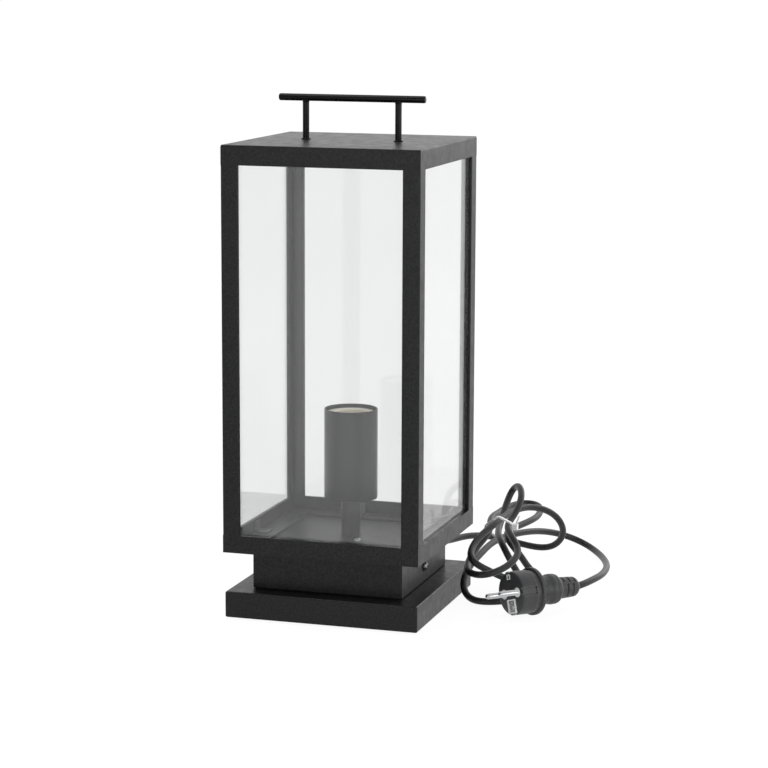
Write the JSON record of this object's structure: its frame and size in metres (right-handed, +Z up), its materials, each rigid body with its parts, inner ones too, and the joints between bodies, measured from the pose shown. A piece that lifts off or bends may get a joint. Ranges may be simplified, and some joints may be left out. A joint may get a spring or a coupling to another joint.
{
  "type": "lantern table lamp",
  "caption": "Square glazed lantern lamp with a bar handle on a weighted foot; the lantern lifts off over a stem-mounted screw lampholder, with corded mains plug.",
  "frame": {"origin": "centre of the foot's underside, at the height of the rubber pads' lower faces", "axes": "+Z up, +X to the right of the front face, +Y towards the back, front face towards -Y"},
  "size_m": [0.2871, 0.3299, 0.435],
  "materials": {
    "black_powder_coat": "fine-grained black powder coat, satin",
    "raw_steel": "rolled steel plate",
    "foot_rubber": "matt black rubber",
    "zinc_steel": "zinc-plated steel",
    "blackened_steel": "black oxide",
    "brass": "plain brass",
    "ceramic": "cream glazed ceramic",
    "brown_insulation": "brown wire insulation",
    "blue_insulation": "blue wire insulation",
    "green_insulation": "green wire insulation",
    "cord_rubber": "dark grey rubber, satin",
    "pale_plastic": "pale translucent plastic",
    "plug_plastic": "moulded dark grey plastic",
    "nickel": "nickel-plated brass",
    "glass": "clear float glass"
  },
  "bodies": {
    "base": {"base_shell": "black_powder_coat", "ballast_weight": "raw_steel", "base_cover": "black_powder_coat", "base_feet": "foot_rubber", "base_screws": "zinc_steel", "guide_ring": "black_powder_coat", "spigot_box": "black_powder_coat", "spigot_screws": "zinc_steel", "stem_rod": "brass", "lamp_stem": "black_powder_coat", "stem_nuts": "zinc_steel", "holder_cup": "black_powder_coat", "lampholder_core": "ceramic", "thread_shell": "brass", "centre_contact": "brass", "terminal_screws": "brass", "lead_live": "brown_insulation", "lead_neutral": "blue_insulation", "lead_earth": "green_insulation", "earth_screw": "zinc_steel", "cord_tail": "cord_rubber", "cord_clamp_base": "pale_plastic", "cord_clamp_bar": "pale_plastic", "clamp_screws": "zinc_steel", "cord_gland": "cord_rubber", "cord": "cord_rubber", "cable_tie": "pale_plastic", "plug_body": "plug_plastic", "plug_pins": "nickel", "plug_pin_collars": "pale_plastic", "plug_earth_clips": "nickel"},
    "lantern": {"roof_plate": "black_powder_coat", "top_frame": "black_powder_coat", "bottom_frame": "black_powder_coat", "post_front_left": "black_powder_coat", "post_front_right": "black_powder_coat", "post_back_left": "black_powder_coat", "post_back_right": "black_powder_coat", "floor_ledge": "black_powder_coat", "neck_skirt": "black_powder_coat", "neck_nuts": "zinc_steel", "glass_front": "glass", "glass_back": "glass", "glass_left": "glass", "glass_right": "glass", "glass_clips_low": "zinc_steel", "glass_clips_high": "zinc_steel", "handle_bar": "black_powder_coat", "handle_post_left": "black_powder_coat", "handle_post_right": "black_powder_coat", "handle_washers": "black_powder_coat", "handle_nuts": "zinc_steel"},
    "washer_left": {"neck_washer_left": "black_powder_coat"},
    "screw_left": {"neck_screw_left": "blackened_steel"},
    "washer_right": {"neck_washer_right": "black_powder_coat"},
    "screw_right": {"neck_screw_right": "blackened_steel"}
  },
  "joints": [
    {"name": "lantern_lift", "type": "slide", "parent": "base", "child": "lantern", "axis": [0, 0, 1], "range_m": [0, 0.26]},
    {"name": "left_screw_travel", "type": "slide", "parent": "lantern", "child": "washer_left", "axis": [-1, 0, 0], "range_m": [0, 0.0028]},
    {"name": "left_screw_turn", "type": "hinge", "parent": "washer_left", "child": "screw_left", "pos_m": [-0.0655, 0, 0.037], "axis": [-1, 0, 0], "range_deg": [0, 1440.5]},
    {"name": "right_screw_travel", "type": "slide", "parent": "lantern", "child": "washer_right", "axis": [1, 0, 0], "range_m": [0, 0.0028]},
    {"name": "right_screw_turn", "type": "hinge", "parent": "washer_right", "child": "screw_right", "pos_m": [0.0655, 0, 0.037], "axis": [1, 0, 0], "range_deg": [0, 1440.5]}
  ],
  "couplings": [
    {"joint": "left_screw_turn", "follows": "left_screw_travel", "rad_per_m": 8976},
    {"joint": "right_screw_turn", "follows": "right_screw_travel", "rad_per_m": 8976}
  ]
}
